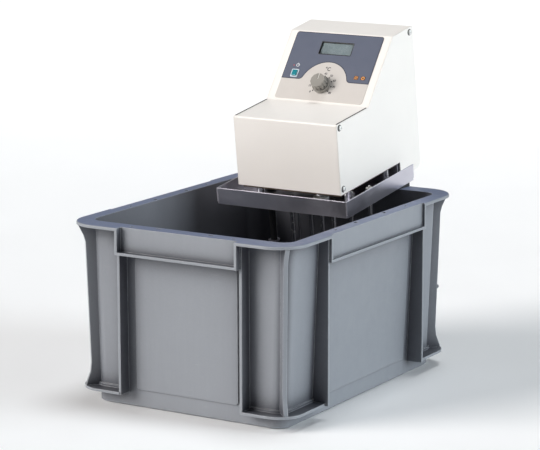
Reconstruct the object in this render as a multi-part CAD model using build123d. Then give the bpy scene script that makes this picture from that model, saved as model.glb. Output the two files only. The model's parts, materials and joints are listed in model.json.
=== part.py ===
from build123d import *
import os
from math import atan2, cos, degrees, radians, sin

# A heated water bath: a moulded stacking tub with a lift-out control unit.
# Frame of the whole object: origin on the floor under the middle of the tub, +Z up,
# +Y from the open end of the tub to the control unit, +X to the right seen from the front.

# ---------------------------------------------------------------- tub
TUB_W = 300.0
TUB_L = 400.0
TUB_H = 211.0
RIM_T = 3.6             # thickness of the rim plate
RIM_R = 36.6            # outer corner radius of the rim
RIM_EDGE = 1.6          # rounding of the rim's top edge
MOUTH_W = 263.8
MOUTH_L = 348.6
MOUTH_R = 15.3
WALL = 2.6
FLOOR_T = 3.5
FOOT_INSET = 24.3       # how far the underside stands in from the rim
FOOT_R = 15.4
FOOT_EDGE = 1.8
SHELF_LOW = 16.0        # the shelf round each corner
SHELF_HIGH = 19.0
SHELF_INSET = 7.0
PLINTH_H = 3.0          # small step where the corner wall meets the shelf
PLINTH_OUT = 2.0
RIB_T = 3.0
BAND_H = 31.0           # height of the framed grip band under the rim
SHORT_SIDE = {"recess": 7.9, "frame": 80.3, "rib": 82.4}
LONG_SIDE = {"recess": 3.2, "frame": 112.3, "rib": 114.2}
FIELD_MARGIN = 11.5     # the raised field of each side stops this far from the ribs
FIELD_LOW = 21.0
FIELD_BELOW_BAND = 5.5
FIELD_T = 1.2
FIELD_R = 4.0
FIN_T = 5.0
FIN_OUT = 27.0          # reach of a corner fin under the rim, from the corner's centre
FIN_OUT_LOW = 22.4      # the same near the shelf
FIN_PIP_Z = 95.0
NOTCH_DEPTH = 2.4

# ---------------------------------------------------------------- control unit
# The unit is drawn level in its own frame: origin at the middle of the housing's front
# bottom edge, +Y to its back. It stands in the tub on its front legs and leans forward,
# with the back of its tray on rubber pads on the tub's rim.
LEAN = 7.7
TURN = -1.05
UNIT_AT = (-11.3, 67.9, 218.1)
SHEET = 1.2
HOUSING_W = 144.0
FRONT_H = 86.5
STEP_Y = 75.8
STEP_Z = 87.8
SLANT_TOP_Y = 144.3
SLANT_TOP_Z = 158.5
BACK_Y = 194.0
BACK_Z = 160.7
TAIL_Y = 144.0          # the housing hangs down behind the tray from here back
TAIL_Z = -19.5
TAIL_R = 8.0
BEND_R = 2.4
TRAY_W = 182.4
TRAY_FRONT = -20.3
TRAY_BACK = 142.6
TRAY_BOTTOM = -20.0
BOARD_T = 3.0           # heat-proof board under the housing
GAP = 0.1               # clearance between neighbouring pieces

# ---------------------------------------------------------------- under the tray
LEG_X = (-8.0, 50.0)
LEG_Y = (16.0, 58.0)
LEG_R = 3.0
LEG_END = -207.5
FOOT_PAD_R = 7.0
STIR_X = 21.0
STIR_Y = 37.0
SHAFT_R = 3.0
PROP_Z = -160.0
GUARD_Z = -187.0
HEATER_R = 3.3
HEATER_LEFT = (-66.0, 64.0)
HEATER_RIGHT = (78.0, 56.0)
HEATER_FRONT = -6.0
HEATER_Z = -156.0
PROBE_AT = (-22.0, 52.0)
PROBE_R = 1.6
LEVEL_AT = (-58.0, 48.0)
STEM_R = 4.0
STEM_END = -142.0
FLOAT_TRAVEL = 30.0
POSTS_X = 62.0
POSTS_Y = (32.0, 122.0)

# ---------------------------------------------------------------- control panel
LABEL_T = 0.4
LABEL_W = 123.0
LABEL_LOW = 2.9
LABEL_HIGH = 96.8
KNOB_AT = (-1.2, 24.2)
KNOB_R = 11.2
KNOB_H = 14.0
SPINDLE_R = 3.0
DISPLAY_AT = (0.9, 76.0)
DISPLAY_SIZE = (46.0, 18.2)
DISPLAY_FRAME = 0.8     # width of the frame round the window
BUTTON_AT = (-44.9, 38.2)
BUTTON_SIZE = (7.0, 8.0)
BUTTON_RIM = 1.5
LAMPS_X = (42.0, 51.6)
LAMPS_Y = 38.2
LAMP_SIZE = (6.0, 5.0)
CIRCUIT_Z = -14.0

# ---------------------------------------------------------------- back of the housing
INLET_AT = (-34.0, 22.0)
FUSE_AT = (8.0, 22.0)
WASHER_T = 0.5
SEAM = 1.2              # open seam along both sides of the step
SEAL_PROUD = 0.4

TRAY_FLOOR = TRAY_BOTTOM + SHEET
FOOT_W = TUB_W - 2 * FOOT_INSET
FOOT_L = TUB_L - 2 * FOOT_INSET
SLANT_ANGLE = degrees(atan2(SLANT_TOP_Z - STEP_Z, SLANT_TOP_Y - STEP_Y))
UNIT = Pos(*UNIT_AT) * Rot(Z=TURN) * Rot(X=LEAN)
PANEL = Plane(
    origin=(0, STEP_Y, STEP_Z),
    x_dir=(1, 0, 0),
    z_dir=(0, -sin(radians(SLANT_ANGLE)), cos(radians(SLANT_ANGLE))),
).location


# ---------------------------------------------------------------- simple shapes
def box(x0, x1, y0, y1, z0, z1):
    centre = Pos((x0 + x1) / 2, (y0 + y1) / 2, (z0 + z1) / 2)
    return centre * Box(x1 - x0, y1 - y0, z1 - z0)


def rod(x, y, z0, z1, radius):
    return Pos(x, y, (z0 + z1) / 2) * Cylinder(radius, z1 - z0)


def slab(width, length, radius, z0, z1, x=0, y=0):
    return Pos(x, y, z0) * extrude(RectangleRounded(width, length, radius), z1 - z0)


def nut(x, y, z0, z1, across, bore):
    return Pos(x, y, z0) * extrude(RegularPolygon(across / 2, 6, major_radius=False), z1 - z0) - rod(
        x, y, z0, z1, bore
    )


def screw(head_r, head_h, shank_r, shank_length):
    """A pan-head screw along Z, with the underside of its head at the origin."""
    head = rod(0, 0, 0, head_h, head_r)
    rounded = fillet(head.edges().sort_by(Axis.Z)[-1], head_h * 0.6)
    slot_w = head_r * 0.28
    slot_l = head_r * 1.1
    cross = box(-slot_l / 2, slot_l / 2, -slot_w / 2, slot_w / 2, head_h * 0.45, head_h)
    recess = cross + Rot(Z=90) * cross
    return rounded - recess + rod(0, 0, -shank_length, 0, shank_r)


def group(shapes):
    return Compound([solid for shape in shapes for solid in shape.solids()])


# ---------------------------------------------------------------- tub
def spread(direction, near, far):
    """An interval from near to far on the side given by direction, lowest end first."""
    return sorted((direction * near, direction * far))


def tub_side(reach, mouth_half, shape):
    """Framed grip band, two ribs and raised field of one side, which faces -Y at distance reach."""
    foot_half = reach - FOOT_INSET
    spreading = mouth_half + WALL - foot_half
    band_low = TUB_H - BAND_H
    outer = -reach
    face = outer + shape["recess"]
    top = TUB_H - RIM_T + 1
    side = box(-shape["rib"], shape["rib"], face, face + WALL, band_low, top)
    side += box(-shape["frame"], shape["frame"], outer, face + 1, band_low, band_low + RIB_T)
    for direction in (-1, 1):
        upright = spread(direction, shape["frame"] - RIB_T, shape["frame"])
        rib = spread(direction, shape["rib"] - RIB_T, shape["rib"])
        side += box(*upright, outer, face + 1, band_low, top)
        side += box(*rib, face, 1 - foot_half, SHELF_LOW, top)
    field_w = 2 * (shape["rib"] - RIB_T - FIELD_MARGIN)
    field_high = band_low - FIELD_BELOW_BAND
    middle = (FIELD_LOW + field_high) / 2
    field = extrude(RectangleRounded(field_w, field_high - FIELD_LOW, FIELD_R), FIELD_T + 1)
    lean = degrees(atan2(spreading, TUB_H))
    on_wall = Pos(0, -foot_half - spreading * middle / TUB_H, middle) * Rot(X=90 + lean)
    return side + on_wall * Pos(0, 0, -1) * field


def grip_pocket(reach, shape):
    """The space in front of the grip band, open at the top, inside its frame."""
    half = shape["frame"] - RIB_T
    face = -reach + shape["recess"]
    return box(-half, half, -reach - 1, face, TUB_H - BAND_H + RIB_T, TUB_H + 1)


def corner_fin(x_sign, y_sign):
    """The diagonal fin under one corner of the rim, spreading out at both ends."""
    near = FOOT_R - WALL
    shelf_reach = RIM_R - SHELF_INSET
    top = TUB_H - RIM_T + 1
    outline = Polyline(
        (near - 6, SHELF_LOW + 1),
        (shelf_reach - 0.5, SHELF_LOW + 1),
        (shelf_reach - 1.5, SHELF_HIGH + 3),
        (FIN_OUT_LOW + 1.2, SHELF_HIGH + 15),
        (FIN_OUT_LOW, SHELF_HIGH + 26),
        (FIN_OUT, top - 22),
        (FIN_OUT + 2.2, top - 14),
        (RIM_R - 1.5, top - 2),
        (RIM_R - 1.5, top),
        (near, top),
        close=True,
    )
    fin = extrude(Plane.XZ * make_face(outline), FIN_T / 2, both=True)
    if x_sign > 0 and y_sign > 0:
        lean_out = (FIN_OUT - FIN_OUT_LOW) * (FIN_PIP_Z - SHELF_HIGH) / (TUB_H - SHELF_HIGH)
        fin += Pos(FIN_OUT_LOW + lean_out - 0.5, 0, FIN_PIP_Z) * Rot(X=90) * Cylinder(2.6, FIN_T - 1)
    angle = degrees(atan2(y_sign, x_sign))
    centre_x = TUB_W / 2 - RIM_R
    centre_y = TUB_L / 2 - RIM_R
    return Pos(x_sign * centre_x, y_sign * centre_y, 0) * Rot(Z=angle) * fin


def at_corners(ring):
    """Keeps only the parts of a ring that lie beyond the ribs."""
    long_half = LONG_SIDE["rib"] - 1
    short_half = SHORT_SIDE["rib"] - 1
    ring -= box(-TUB_W, TUB_W, -long_half, long_half, 0, TUB_H)
    return ring - box(-short_half, short_half, -TUB_L, TUB_L, 0, TUB_H)


def corner_shelf():
    """The shelf that runs round each corner, and the small step at the foot of the wall on it."""
    inset = 2 * SHELF_INSET
    shelf = slab(TUB_W - inset, TUB_L - inset, RIM_R - SHELF_INSET, SHELF_LOW, SHELF_HIGH)
    shelf -= slab(FOOT_W - 2, FOOT_L - 2, FOOT_R, SHELF_LOW, SHELF_HIGH)
    grow = 2 * PLINTH_OUT + 1
    plinth_top = SHELF_HIGH + PLINTH_H
    plinth = slab(FOOT_W + grow, FOOT_L + grow, FOOT_R + PLINTH_OUT, SHELF_HIGH - 1, plinth_top)
    plinth -= slab(FOOT_W - 2, FOOT_L - 2, FOOT_R, SHELF_HIGH - 1, plinth_top)
    return at_corners(shelf) + at_corners(plinth)


def rim_notches():
    """Small blind slots in the top of the rim, two large and two small to a side."""
    low = TUB_H - NOTCH_DEPTH
    slots = []
    for along, inset, length, width in ((34.5, 5.1, 7.0, 3.4), (67.0, 9.8, 5.0, 2.4)):
        for x in (-along, along):
            for y in (-MOUTH_L / 2 - inset, MOUTH_L / 2 + inset):
                slots.append(Pos(x, y, low + 2) * Box(length, width, 4))
    for along, inset, length, width in ((33.5, 4.2, 7.0, 3.4), (82.5, 6.0, 5.0, 2.4)):
        for y in (-along, along):
            for x in (-MOUTH_W / 2 - inset, MOUTH_W / 2 + inset):
                slots.append(Pos(x, y, low + 2) * Box(width, length, 4))
    return slots


def tub_sides():
    """(turn, reach, half of the mouth, shape) of the four sides."""
    short = (TUB_L / 2, MOUTH_L / 2, SHORT_SIDE)
    long = (TUB_W / 2, MOUTH_W / 2, LONG_SIDE)
    return [(0, *short), (90, *long), (180, *short), (270, *long)]


def make_tub():
    foot = slab(FOOT_W, FOOT_L, FOOT_R, 0, FLOOR_T)
    foot = chamfer(foot.edges().group_by(Axis.Z)[0], FOOT_EDGE)
    body = foot + loft(
        [
            Pos(0, 0, FLOOR_T) * RectangleRounded(FOOT_W, FOOT_L, FOOT_R),
            Pos(0, 0, TUB_H) * RectangleRounded(MOUTH_W + 2 * WALL, MOUTH_L + 2 * WALL, MOUTH_R + WALL),
        ]
    )
    rim = slab(TUB_W, TUB_L, RIM_R, TUB_H - RIM_T, TUB_H)
    rim = fillet(rim.edges().group_by(Axis.Z)[-1], RIM_EDGE)
    tub = body + rim
    for turn, reach, mouth_half, shape in tub_sides():
        tub += Rot(Z=turn) * tub_side(reach, mouth_half, shape)
    tub += corner_shelf()
    for x_sign in (-1, 1):
        for y_sign in (-1, 1):
            tub += corner_fin(x_sign, y_sign)
    for turn, reach, _, shape in tub_sides():
        tub -= Rot(Z=turn) * grip_pocket(reach, shape)
    inside_w = FOOT_W - 2 * WALL
    inside_l = FOOT_L - 2 * WALL
    inside_r = FOOT_R - WALL
    well = slab(inside_w, inside_l, inside_r, FLOOR_T, FLOOR_T + 6)
    tub -= fillet(well.edges().group_by(Axis.Z)[0], 3.0)
    tub -= loft(
        [
            Pos(0, 0, FLOOR_T + 5) * RectangleRounded(inside_w, inside_l, inside_r),
            Pos(0, 0, TUB_H) * RectangleRounded(MOUTH_W, MOUTH_L, MOUTH_R),
        ]
    )
    for slot in rim_notches():
        tub -= slot
    return tub


# ---------------------------------------------------------------- tray and stand
def make_tray():
    """Folded tray; its back wall ends behind the housing, so both back corners are open."""
    half = TRAY_W / 2
    tray = box(-half, half, TRAY_FRONT, TRAY_BACK, TRAY_BOTTOM, 0)
    tray -= box(-half + SHEET, half - SHEET, TRAY_FRONT + SHEET, TRAY_BACK - SHEET, TRAY_FLOOR, 1)
    slit = 0.6
    relief_r = 1.6
    for x in (-half, half):
        for y in (TRAY_FRONT, TRAY_BACK):
            inward_x = -1 if x > 0 else 1
            tray -= Pos(x + inward_x * SHEET, y, 0) * Box(slit, 2 * SHEET + 1, 2 * abs(TRAY_FLOOR + 1.5))
            tray -= rod(x, y, TRAY_BOTTOM - 1, TRAY_FLOOR + 1.5, relief_r)
    open_end = HOUSING_W / 2 - 3
    for direction in (-1, 1):
        corner = spread(direction, open_end, half - SHEET)
        tray -= box(*corner, TRAY_BACK - SHEET - 1, TRAY_BACK + 1, TRAY_FLOOR, 1)
    holes = [rod(x, y, TRAY_BOTTOM - 1, 0, LEG_R) for x in LEG_X for y in LEG_Y]
    holes += [rod(x, y, TRAY_BOTTOM - 1, 0, 2.0) for x in (-POSTS_X, POSTS_X) for y in POSTS_Y]
    holes += [rod(*at, TRAY_BOTTOM - 1, 0, 5.0) for at in (HEATER_LEFT, HEATER_RIGHT)]
    holes.append(rod(STIR_X, STIR_Y, TRAY_BOTTOM - 1, 0, 7.0))
    holes.append(rod(*PROBE_AT, TRAY_BOTTOM - 1, 0, 3.0))
    holes.append(rod(*LEVEL_AT, TRAY_BOTTOM - 1, 0, STEM_R))
    for hole in holes:
        tray -= hole
    return tray


def make_rear_pads():
    """Rubber blocks under the back of the tray, cut level where they rest on the tub's rim."""
    above_rim = UNIT.inverse() * box(-TUB_W, TUB_W, -TUB_L, TUB_L, TUB_H + GAP, 2 * TUB_H)
    pads = []
    for x in (-80, 80):
        block = slab(22, 27, 3, TRAY_BOTTOM - 14, TRAY_BOTTOM, x, 120)
        pads.append(block & above_rim)
    return group(pads)


def make_legs():
    return group([rod(x, y, LEG_END, TRAY_FLOOR + 6, LEG_R) for x in LEG_X for y in LEG_Y])


def make_leg_nuts():
    nuts = []
    for x in LEG_X:
        for y in LEG_Y:
            nuts.append(nut(x, y, TRAY_FLOOR, TRAY_FLOOR + 4, 10, LEG_R))
            nuts.append(nut(x, y, TRAY_BOTTOM - 4, TRAY_BOTTOM, 10, LEG_R))
    return group(nuts)


def make_leg_feet():
    """Domed rubber tips; the two front ones stand on the tub's floor."""
    feet = []
    for x in LEG_X:
        for y in LEG_Y:
            top = LEG_END + 9
            centre = LEG_END - 3.8
            foot = rod(x, y, centre, top, FOOT_PAD_R) + Pos(x, y, centre) * Sphere(FOOT_PAD_R)
            feet.append(foot - rod(x, y, LEG_END, top, LEG_R))
    return group(feet)


def make_guard_plate():
    """The plate that ties the legs together and steadies the end of the stirrer shaft."""
    margin = 9.0
    width = LEG_X[1] - LEG_X[0] + 2 * margin
    length = LEG_Y[1] - LEG_Y[0] + 2 * margin
    plate = slab(width, length, 8, GUARD_Z, GUARD_Z + 1.5, STIR_X, STIR_Y)
    for x in LEG_X:
        for y in LEG_Y:
            plate -= rod(x, y, GUARD_Z, GUARD_Z + 1.5, LEG_R)
    plate -= rod(STIR_X, STIR_Y, GUARD_Z, GUARD_Z + 1.5, 5.0)
    for step in range(12):
        angle = radians(30 * step)
        plate -= rod(STIR_X + 14 * cos(angle), STIR_Y + 14 * sin(angle), GUARD_Z, GUARD_Z + 1.5, 2.5)
    return plate


def flanged_bush(z0, z1, neck_r, flange_z0, flange_z1, flange_r):
    bush = rod(STIR_X, STIR_Y, z0, z1, neck_r) + rod(STIR_X, STIR_Y, flange_z0, flange_z1, flange_r)
    return bush - rod(STIR_X, STIR_Y, z0 - 1, z1 + 1, SHAFT_R + 0.05)


def make_bushes():
    upper = flanged_bush(TRAY_BOTTOM - 2, TRAY_FLOOR + 2.2, 7.0, TRAY_FLOOR, TRAY_FLOOR + 2.2, 9.5)
    lower = flanged_bush(GUARD_Z - 1, GUARD_Z + 4, 5.0, GUARD_Z + 1.5, GUARD_Z + 4, 7.0)
    return upper, lower


# ---------------------------------------------------------------- stirrer
def make_motor():
    body = rod(STIR_X, STIR_Y, 16, 58, 25)
    body = fillet(body.edges().sort_by(Axis.Z)[-1], 3)
    body += rod(STIR_X, STIR_Y, 12, 17, 8)
    body += rod(STIR_X, STIR_Y, 57, 61, 10)
    for step in range(16):
        angle = radians(22.5 * step)
        vent = Pos(STIR_X + 25 * cos(angle), STIR_Y + 25 * sin(angle), 40)
        body -= vent * Rot(Z=22.5 * step) * Box(2, 2.5, 22)
    return body - rod(STIR_X, STIR_Y, 11, 40, 2.55)


def make_motor_bracket():
    x0 = STIR_X - 27
    x1 = STIR_X + 27
    bracket = box(x0, x1, STIR_Y - 22, STIR_Y + 22, 14, 16)
    for near, far in ((x0, x0 - 9), (x1, x1 + 9)):
        inner = near + 2 if far < near else near - 2
        wall = sorted((near, inner))
        foot = sorted((far, inner))
        bracket += box(*wall, STIR_Y - 22, STIR_Y + 22, SHEET, 16)
        bracket += box(*foot, STIR_Y - 22, STIR_Y + 22, SHEET, SHEET + 2)
    return bracket - rod(STIR_X, STIR_Y, 13, 17, 8)


def make_coupling():
    coupling = rod(STIR_X, STIR_Y, -14, 8, 6.5)
    coupling -= rod(STIR_X, STIR_Y, -3, 8, 2.5)
    coupling -= rod(STIR_X, STIR_Y, -14, -3, SHAFT_R)
    for z in (-9, 3):
        screw_hole = Pos(STIR_X, STIR_Y - 5, z) * Rot(X=90) * Cylinder(1.5, 5)
        coupling -= screw_hole
    return coupling


def make_propeller():
    hub = rod(STIR_X, STIR_Y, PROP_Z - 8, PROP_Z + 8, 6)
    blade_root = Plane(origin=(0, 4, 0), x_dir=(1, 0, 0), z_dir=(0, 1, 0)) * Rot(Z=28) * Rectangle(14, 1.4)
    blade_tip = Plane(origin=(0, 21, 0), x_dir=(1, 0, 0), z_dir=(0, 1, 0)) * Rot(Z=18) * Rectangle(18, 1.0)
    blade = loft([blade_root, blade_tip])
    propeller = hub
    for step in range(3):
        propeller += Pos(STIR_X, STIR_Y, PROP_Z) * Rot(Z=120 * step) * blade
    return propeller - rod(STIR_X, STIR_Y, PROP_Z - 9, PROP_Z + 9, SHAFT_R)


# ---------------------------------------------------------------- heater, probe and level switch
def make_heater():
    left_x, left_y = HEATER_LEFT
    right_x, right_y = HEATER_RIGHT
    top = TRAY_FLOOR + 9
    route = FilletPolyline(
        (left_x, left_y, top),
        (left_x, left_y, HEATER_Z),
        (left_x, HEATER_FRONT, HEATER_Z),
        (right_x, HEATER_FRONT, HEATER_Z),
        (right_x, right_y, HEATER_Z),
        (right_x, right_y, top),
        radius=14,
    )
    section = Pos(left_x, left_y, top) * Circle(HEATER_R)
    return sweep(section, path=route)


def make_heater_glands():
    glands = []
    for x, y in (HEATER_LEFT, HEATER_RIGHT):
        gland = nut(x, y, TRAY_FLOOR, TRAY_FLOOR + 5, 13, HEATER_R)
        gland += rod(x, y, TRAY_BOTTOM, TRAY_FLOOR, 5) - rod(x, y, TRAY_BOTTOM, TRAY_FLOOR, HEATER_R)
        gland += nut(x, y, TRAY_BOTTOM - 4, TRAY_BOTTOM, 13, HEATER_R)
        glands.append(gland)
    return group(glands)


def make_heater_caps():
    """White ceramic ends with a terminal stud."""
    caps = []
    for x, y in (HEATER_LEFT, HEATER_RIGHT):
        low = TRAY_FLOOR + 9
        caps.append(rod(x, y, low, low + 4, 4.2) + rod(x, y, low + 4, low + 6.5, 1.2))
    return group(caps)


def make_probe():
    x, y = PROBE_AT
    probe = rod(x, y, -155, TRAY_FLOOR + 7, PROBE_R)
    return fillet(probe.edges().sort_by(Axis.Z)[0], 1.2)


def make_probe_gland():
    x, y = PROBE_AT
    gland = nut(x, y, TRAY_FLOOR, TRAY_FLOOR + 5, 9, PROBE_R)
    gland += rod(x, y, TRAY_BOTTOM, TRAY_FLOOR, 3) - rod(x, y, TRAY_BOTTOM, TRAY_FLOOR, PROBE_R)
    gland += nut(x, y, TRAY_BOTTOM - 3, TRAY_BOTTOM, 9, PROBE_R)
    return gland


def make_level_stem():
    x, y = LEVEL_AT
    stem = rod(x, y, STEM_END, TRAY_FLOOR + 8, STEM_R)
    stem += rod(x, y, TRAY_FLOOR, TRAY_FLOOR + 5, 7)
    return stem + rod(x, y, TRAY_BOTTOM - 3, TRAY_BOTTOM, 7)


def make_float_stops():
    x, y = LEVEL_AT
    low = STEM_END + 3
    high = low + 1.5 + 22 + FLOAT_TRAVEL + 0.4
    stops = []
    for z in (low, high):
        stops.append(rod(x, y, z, z + 1.5, 7) - rod(x, y, z, z + 1.5, STEM_R))
    return group(stops)


def make_float():
    x, y = LEVEL_AT
    low = STEM_END + 4.7
    ball = rod(x, y, low, low + 22, 12)
    ball = fillet(ball.edges().filter_by(GeomType.CIRCLE), 6)
    return ball - rod(x, y, low - 1, low + 23, STEM_R + 0.1)


# ---------------------------------------------------------------- housing
def housing_outline(grow=0.0):
    """The side view of the housing, in the YZ plane; grow moves the outline outwards."""
    points = [
        (0, 0),
        (0, FRONT_H),
        (STEP_Y, STEP_Z),
        (SLANT_TOP_Y, SLANT_TOP_Z),
        (BACK_Y, BACK_Z),
        (BACK_Y, TAIL_Z),
        (TAIL_Y, TAIL_Z),
        (TAIL_Y, 0),
    ]
    outline = Plane.YZ * make_face(Polyline(*points, close=True))
    upper = [v for v in outline.vertices() if v.Z > 50]
    outline = fillet(upper, BEND_R)
    tail = [v for v in outline.vertices() if v.Y > BACK_Y - 1 and v.Z < 0]
    outline = fillet(tail, TAIL_R)
    if grow:
        outline = offset(outline, amount=grow)
    return outline


def side_screw_places():
    return ((6.0, 6.5), (6.0, 81.6), (185.0, 154.4))


def panel_hole(x, y, width, length, radius):
    return PANEL * slab(width, length, radius, -20, 5, x, y)


def make_cover():
    """Front, step, sloping panel and top: one folded sheet, with tabs for the side panels."""
    half = HOUSING_W / 2 - SHEET - GAP
    outer = extrude(housing_outline(), half, both=True)
    inner = extrude(housing_outline(-SHEET), half, both=True)
    cover = outer - inner
    cover -= box(-half, half, BACK_Y - SHEET - GAP, BACK_Y + 1, TAIL_Z - 1, BACK_Z + 1)
    cover -= box(-half, half, SHEET, BACK_Y + 1, TAIL_Z - 1, SHEET + GAP)
    lip_y = BACK_Y - SHEET - GAP
    cover += box(-half, half, lip_y - SHEET, lip_y, BACK_Z - 15, BACK_Z - 1)
    for side in (-1, 1):
        inner_face = spread(side, half - SHEET, half)
        cover += box(*inner_face, SHEET / 2, 14, SHEET + GAP, 13)
        cover -= box(*spread(side, half - SEAM, half + 1), BEND_R, STEP_Y - 2, FRONT_H - 1.4, STEP_Z + 1)
        cover += box(*inner_face, SHEET / 2, 14, 72, FRONT_H - 1.5)
        cover += box(*inner_face, 177, lip_y - SHEET / 2, 146, BACK_Z - 1.4)
        for y, z in side_screw_places():
            cover -= Pos(side * half, y, z) * Rot(Y=90) * Cylinder(1.5, 2 * SHEET + 1)
    cover -= panel_hole(*DISPLAY_AT, DISPLAY_SIZE[0], DISPLAY_SIZE[1], 1)
    cover -= panel_hole(*BUTTON_AT, BUTTON_SIZE[0] + 1.6, BUTTON_SIZE[1] + 1.6, 1)
    cover -= PANEL * rod(*KNOB_AT, -20, 5, 3.6)
    for x in LAMPS_X:
        cover -= panel_hole(x, LAMPS_Y, LAMP_SIZE[0], LAMP_SIZE[1], 0.8)
    for x in (-62, 62):
        cover -= Pos(x, lip_y, BACK_Z - 8) * Rot(X=90) * Cylinder(1.5, 2 * SHEET + 1)
    return cover


def make_side_panel(side):
    half = HOUSING_W / 2
    panel = extrude(housing_outline(), SHEET)
    panel = Pos(min(side * half, side * (half - SHEET)), 0, 0) * panel
    for y, z in side_screw_places():
        panel -= Pos(side * half, y, z) * Rot(Y=90) * Cylinder(1.5, 3 * SHEET)
    return panel


def make_seam_seals():
    """Black sealing strips in the open seams along both sides of the step."""
    half = HOUSING_W / 2 - SHEET - GAP
    rise = (STEP_Z - FRONT_H) / STEP_Y
    front = BEND_R + 0.1
    back = STEP_Y - 2.1
    low = FRONT_H - 1.3
    outline = Polyline(
        (front, low),
        (back, low),
        (back, FRONT_H + rise * back + SEAL_PROUD),
        (front, FRONT_H + rise * front + SEAL_PROUD),
        close=True,
    )
    strip = extrude(Plane.YZ * make_face(outline), SEAM - 0.1)
    seals = [Pos(half - SEAM + 0.05, 0, 0) * strip, Pos(-half + 0.05, 0, 0) * strip]
    return group(seals)


def make_side_screws():
    screws = []
    for side in (-1, 1):
        for y, z in side_screw_places():
            outside = side * (HOUSING_W / 2 + WASHER_T)
            screws.append(Pos(outside, y, z) * Rot(Y=90 * side) * screw(3.0, 2.0, 1.5, 6))
    return group(screws)


def make_screw_washers():
    washers = []
    for side in (-1, 1):
        for y, z in side_screw_places():
            washer = rod(0, 0, 0, WASHER_T, 3.9) - rod(0, 0, 0, WASHER_T, 1.5)
            washers.append(Pos(side * HOUSING_W / 2, y, z) * Rot(Y=90 * side) * washer)
    return group(washers)


def make_back_panel():
    half = HOUSING_W / 2 - SHEET - GAP
    panel = box(-half, half, BACK_Y - SHEET, BACK_Y, TAIL_Z + TAIL_R, BACK_Z - 1.4)
    for row in range(7):
        for x in (-26, 26):
            panel -= Pos(x, BACK_Y, 84 + 8 * row) * Rot(X=90) * extrude(SlotOverall(40, 3), 4, both=True)
    panel -= Pos(INLET_AT[0], BACK_Y, INLET_AT[1]) * Box(28, 4, 21)
    panel -= Pos(FUSE_AT[0], BACK_Y, FUSE_AT[1]) * Rot(X=90) * Cylinder(6.5, 4)
    for x in (-62, 62):
        for z in (0, BACK_Z - 8):
            panel -= Pos(x, BACK_Y, z) * Rot(X=90) * Cylinder(1.5, 4)
    return panel


def make_back_screws():
    screws = []
    for x in (-62, 62):
        for z in (0, BACK_Z - 8):
            screws.append(Pos(x, BACK_Y, z) * Rot(X=-90) * screw(3.0, 2.0, 1.5, 5))
    return group(screws)


def make_base_plate():
    """Floor of the housing, folded down behind the tray."""
    half = HOUSING_W / 2 - SHEET - GAP
    back = BACK_Y - SHEET - GAP
    plate = box(-half, half, SHEET + GAP, TAIL_Y + SHEET, 0, SHEET)
    plate += box(-half, half, TAIL_Y, TAIL_Y + SHEET, TAIL_Z, SHEET)
    plate += box(-half, half, TAIL_Y, BACK_Y - TAIL_R, TAIL_Z, TAIL_Z + SHEET)
    plate += box(-half, half, back - SHEET, back, TAIL_Z + TAIL_R, 8)
    plate += box(-half, half, BACK_Y - TAIL_R - SHEET, BACK_Y - TAIL_R, TAIL_Z, TAIL_Z + TAIL_R + SHEET)
    plate += box(
        -half, half, BACK_Y - TAIL_R - SHEET, back, TAIL_Z + TAIL_R, TAIL_Z + TAIL_R + SHEET
    )
    plate -= rod(STIR_X, STIR_Y, -1, 3, 9)
    for x in (-POSTS_X, POSTS_X):
        for y in POSTS_Y:
            plate -= rod(x, y, -1, 3, 2)
    for x in (-62, 62):
        plate -= Pos(x, back, 0) * Rot(X=90) * Cylinder(1.5, 2 * SHEET + 1)
    plate -= Pos(INLET_AT[0], back, INLET_AT[1]) * Box(30, 4, 40)
    return plate


def make_board():
    board = box(-68, 68, 4, 138, -BOARD_T, 0)
    board -= rod(STIR_X, STIR_Y, -BOARD_T, 0, 9)
    for x in (-POSTS_X, POSTS_X):
        for y in POSTS_Y:
            board -= rod(x, y, -BOARD_T, 0, 2)
    return board


def make_posts():
    posts = []
    for x in (-POSTS_X, POSTS_X):
        for y in POSTS_Y:
            post = rod(x, y, TRAY_FLOOR, -BOARD_T, 4.5)
            posts.append(post - rod(x, y, TRAY_FLOOR, -BOARD_T, 2))
    return group(posts)


def make_post_screws():
    screws = []
    for x in (-POSTS_X, POSTS_X):
        for y in POSTS_Y:
            screws.append(Pos(x, y, SHEET) * screw(4, 2.6, 2, 10))
            screws.append(Pos(x, y, TRAY_BOTTOM) * Rot(X=180) * screw(4, 2.6, 2, 8))
    return group(screws)


# ---------------------------------------------------------------- control panel
def make_label():
    middle = (LABEL_LOW + LABEL_HIGH) / 2
    label = slab(LABEL_W, LABEL_HIGH - LABEL_LOW, 3, 0, LABEL_T, 0, middle)
    label -= slab(DISPLAY_SIZE[0], DISPLAY_SIZE[1], 1, 0, LABEL_T, *DISPLAY_AT)
    surround = 2 * BUTTON_RIM
    label -= slab(BUTTON_SIZE[0] + surround, BUTTON_SIZE[1] + surround, 1.5, 0, LABEL_T, *BUTTON_AT)
    label -= rod(*KNOB_AT, 0, LABEL_T, 3.6)
    for x in LAMPS_X:
        label -= slab(LAMP_SIZE[0], LAMP_SIZE[1], 0.8, 0, LABEL_T, x, LAMPS_Y)
    return PANEL * label


def make_display_bezel():
    """A frame behind the opening in the sheet, which carries the window."""
    width, length = DISPLAY_SIZE
    frame = slab(width + 10, length + 10, 2, -3.2, -SHEET, *DISPLAY_AT)
    frame += slab(width - GAP, length - GAP, 1, -SHEET, LABEL_T + 0.3, *DISPLAY_AT)
    frame -= slab(width - 2 * DISPLAY_FRAME, length - 2 * DISPLAY_FRAME, 0.8, -4, 2, *DISPLAY_AT)
    return PANEL * frame


def make_display_window():
    width, length = DISPLAY_SIZE
    trim = 2 * DISPLAY_FRAME
    return PANEL * slab(width - trim, length - trim, 0.8, -2.0, -0.6, *DISPLAY_AT)


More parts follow.
